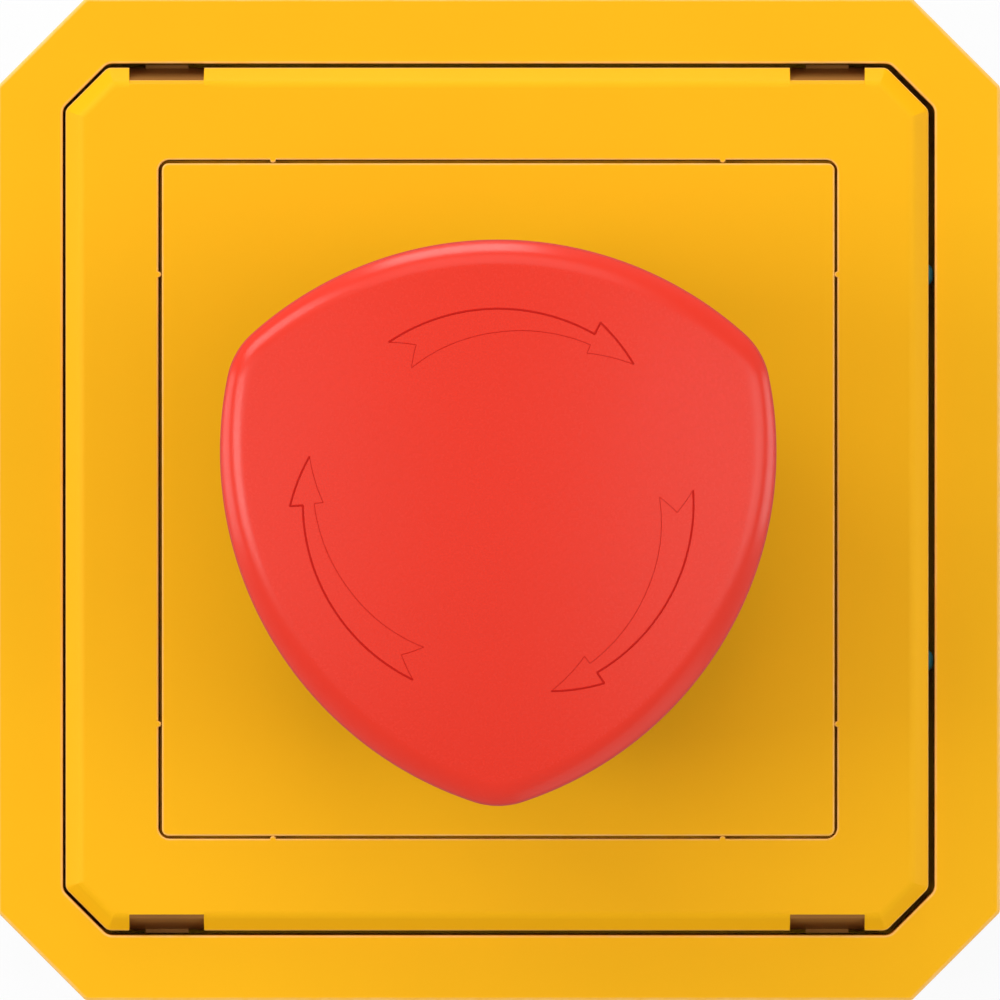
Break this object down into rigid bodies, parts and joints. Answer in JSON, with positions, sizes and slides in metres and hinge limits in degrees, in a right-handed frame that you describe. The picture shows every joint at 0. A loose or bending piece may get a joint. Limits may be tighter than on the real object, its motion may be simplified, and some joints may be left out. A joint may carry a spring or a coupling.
{
  "type": "emergency stop push button",
  "caption": "Emergency stop push button: three-lobed red twist-release mushroom head on a square module, in an eight-sided yellow surface case.",
  "frame": {"origin": "centre of the back face that lies on the wall", "axes": "+Z out of the front along the push axis, +Y up on the wall, +X to the right seen from the front"},
  "size_m": [0.0666, 0.0666, 0.0745],
  "materials": {
    "yellow": "satin moulded",
    "red": "smooth moulded",
    "box": "satin moulded",
    "black": "moulded",
    "dark_grey": "moulded",
    "pale_grey": "moulded",
    "rubber": "matt",
    "teal_seal": "matt",
    "steel": "zinc plated",
    "spring_steel": "drawn wire",
    "brass": "stamped strip"
  },
  "bodies": {
    "enclosure": {"back_box": "box", "casing": "yellow", "case_gasket": "rubber", "case_screw_1": "steel", "case_screw_2": "steel", "case_screw_3": "steel", "case_screw_4": "steel", "cable_grommet_top": "rubber", "cable_grommet_bottom": "rubber", "wall_plug_1": "rubber", "wall_plug_2": "rubber", "mechanism_frame": "yellow", "frame_gasket": "teal_seal", "centre_plate": "yellow", "mechanism_housing": "black", "lock_ring": "dark_grey", "lip_seal": "rubber", "latch_spring": "spring_steel", "return_spring": "spring_steel", "contact_block": "dark_grey", "contact_cover": "pale_grey", "block_screw_1": "steel", "block_screw_2": "steel", "carrier_spring": "spring_steel", "fixed_contact_nc_1": "brass", "fixed_contact_nc_2": "brass", "fixed_contact_no_1": "brass", "fixed_contact_no_2": "brass", "terminal_clamp_1": "steel", "terminal_clamp_2": "steel", "terminal_clamp_3": "steel", "terminal_clamp_4": "steel", "terminal_screw_1": "steel", "terminal_screw_2": "steel", "terminal_screw_3": "steel", "terminal_screw_4": "steel"},
    "actuator": {"push_rod": "pale_grey"},
    "head": {"button_head": "red", "head_core": "dark_grey", "head_screw": "steel"},
    "contacts": {"contact_carrier": "black", "bridge_nc": "brass", "bridge_no": "brass", "contact_spring_nc": "spring_steel", "contact_spring_no": "spring_steel"}
  },
  "joints": [
    {"name": "push_slide", "type": "slide", "parent": "enclosure", "child": "actuator", "axis": [0, 0, -1], "range_m": [0, 0.0055], "stiffness_N_per_m": 1500, "springref_m": -0.002, "deforming": ["return_spring"]},
    {"name": "head_turn", "type": "hinge", "parent": "actuator", "child": "head", "pos_m": [0, 0, 0.058], "axis": [0, 0, -1], "range_deg": [0, 45], "stiffness_Nm_per_rad": 0.05, "springref_deg": -11.46},
    {"name": "contact_slide", "type": "slide", "parent": "enclosure", "child": "contacts", "axis": [0, 0, -1], "range_m": [0, 0.0055], "deforming": ["carrier_spring"]}
  ],
  "couplings": [
    {"joint": "contact_slide", "follows": "push_slide", "ratio": 1}
  ]
}
